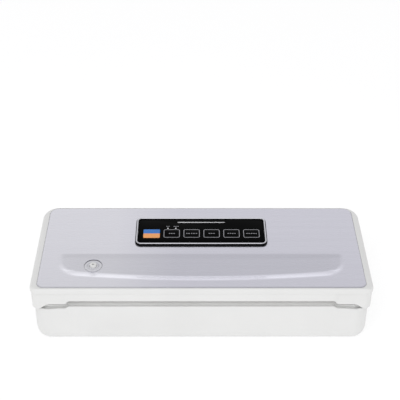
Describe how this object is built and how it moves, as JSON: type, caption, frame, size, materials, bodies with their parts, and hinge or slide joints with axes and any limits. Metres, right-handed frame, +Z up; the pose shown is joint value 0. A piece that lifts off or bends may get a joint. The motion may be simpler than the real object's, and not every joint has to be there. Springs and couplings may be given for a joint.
{
  "type": "vacuum sealer",
  "caption": "Countertop vacuum sealer: long moulded base with a vacuum trough and seal bar under a rear-hinged lid with a brushed metal top, pressed dish and key panel.",
  "frame": {"origin": "bottom centre of the closed machine's box, on the surface that the feet stand on", "axes": "+X along the length to the right as seen from the front, +Y to the hinge at the rear, +Z up"},
  "size_m": [0.38, 0.15, 0.0834],
  "materials": {
    "white_plastic": "satin moulded",
    "brushed_plate": "brushed along its length",
    "steel": "plain",
    "chrome_trim": "polished",
    "gloss_black": "glossy",
    "two_tone_key": "glossy, blue rear half and orange front half",
    "black_plastic": "matt",
    "foam": "fine closed-cell foam",
    "silicone": "matt",
    "coated_tape": "woven glass cloth with a non-stick coat",
    "rubber": "matt",
    "copper": "lacquered",
    "circuit_board": "solder mask",
    "clear_plastic": "translucent"
  },
  "bodies": {
    "base": {"base_housing": "white_plastic", "base_deck": "white_plastic", "heating_wire": "steel", "pump_motor": "steel", "transformer_core": "steel", "release_spring_left": "steel", "release_spring_right": "steel", "hinge_pin_left": "steel", "hinge_pin_right": "steel", "base_screw_front_left": "steel", "base_screw_front_right": "steel", "base_screw_rear_left": "steel", "base_screw_rear_right": "steel", "seal_bar": "black_plastic", "pump_head": "black_plastic", "pump_bracket": "black_plastic", "release_valve": "black_plastic", "mains_inlet": "black_plastic", "lid_switch_left": "black_plastic", "lid_switch_right": "black_plastic", "lower_gasket": "foam", "nonstick_tape": "coated_tape", "foot_front_left": "rubber", "foot_front_right": "rubber", "foot_rear_left": "rubber", "foot_rear_right": "rubber", "transformer_winding": "copper", "power_board": "circuit_board", "trough_filter": "clear_plastic", "vacuum_hose": "clear_plastic"},
    "lid": {"lid_frame": "white_plastic", "top_plate": "brushed_plate", "lid_liner": "white_plastic", "chamber_cover": "white_plastic", "upper_gasket": "foam", "pressure_strip": "silicone", "lid_hook_left": "white_plastic", "lid_hook_right": "white_plastic", "port_ring": "clear_plastic", "port_nozzle": "white_plastic", "panel_ring": "chrome_trim", "control_panel": "gloss_black", "light_bar": "clear_plastic", "status_led_1": "clear_plastic", "status_led_2": "clear_plastic", "control_board": "circuit_board", "lid_screw_front_left": "steel", "lid_screw_front_right": "steel", "lid_screw_rear_left": "steel", "lid_screw_rear_right": "steel"},
    "release_left": {"release_button_left": "white_plastic"},
    "release_right": {"release_button_right": "white_plastic"},
    "pump_crank": {"pump_crank": "copper"},
    "key_1": {"key_1": "two_tone_key"},
    "key_2": {"key_2": "gloss_black"},
    "key_3": {"key_3": "gloss_black"},
    "key_4": {"key_4": "gloss_black"},
    "key_5": {"key_5": "gloss_black"},
    "key_6": {"key_6": "gloss_black"}
  },
  "joints": [
    {"name": "lid_hinge", "type": "hinge", "parent": "base", "child": "lid", "pos_m": [0, 0.0655, 0.0585], "axis": [-1, 0, 0], "range_deg": [0, 75]},
    {"name": "release_left_push", "type": "slide", "parent": "base", "child": "release_left", "axis": [1, 0, 0], "range_m": [0, 0.0035], "stiffness_N_per_m": 600, "deforming": ["release_spring_left"]},
    {"name": "release_right_push", "type": "slide", "parent": "base", "child": "release_right", "axis": [-1, 0, 0], "range_m": [0, 0.0035], "stiffness_N_per_m": 600, "deforming": ["release_spring_right"]},
    {"name": "crank_spin", "type": "hinge", "parent": "base", "child": "pump_crank", "pos_m": [-0.14, 0.03, 0.026], "axis": [1, 0, 0], "continuous": true},
    {"name": "key_1_press", "type": "slide", "parent": "lid", "child": "key_1", "axis": [0, 0.036, -0.9994], "range_m": [0, 0.0006], "stiffness_N_per_m": 1000},
    {"name": "key_2_press", "type": "slide", "parent": "lid", "child": "key_2", "axis": [0, 0.036, -0.9994], "range_m": [0, 0.0006], "stiffness_N_per_m": 1000},
    {"name": "key_3_press", "type": "slide", "parent": "lid", "child": "key_3", "axis": [0, 0.036, -0.9994], "range_m": [0, 0.0006], "stiffness_N_per_m": 1000},
    {"name": "key_4_press", "type": "slide", "parent": "lid", "child": "key_4", "axis": [0, 0.036, -0.9994], "range_m": [0, 0.0006], "stiffness_N_per_m": 1000},
    {"name": "key_5_press", "type": "slide", "parent": "lid", "child": "key_5", "axis": [0, 0.036, -0.9994], "range_m": [0, 0.0006], "stiffness_N_per_m": 1000},
    {"name": "key_6_press", "type": "slide", "parent": "lid", "child": "key_6", "axis": [0, 0.036, -0.9994], "range_m": [0, 0.0006], "stiffness_N_per_m": 1000}
  ]
}
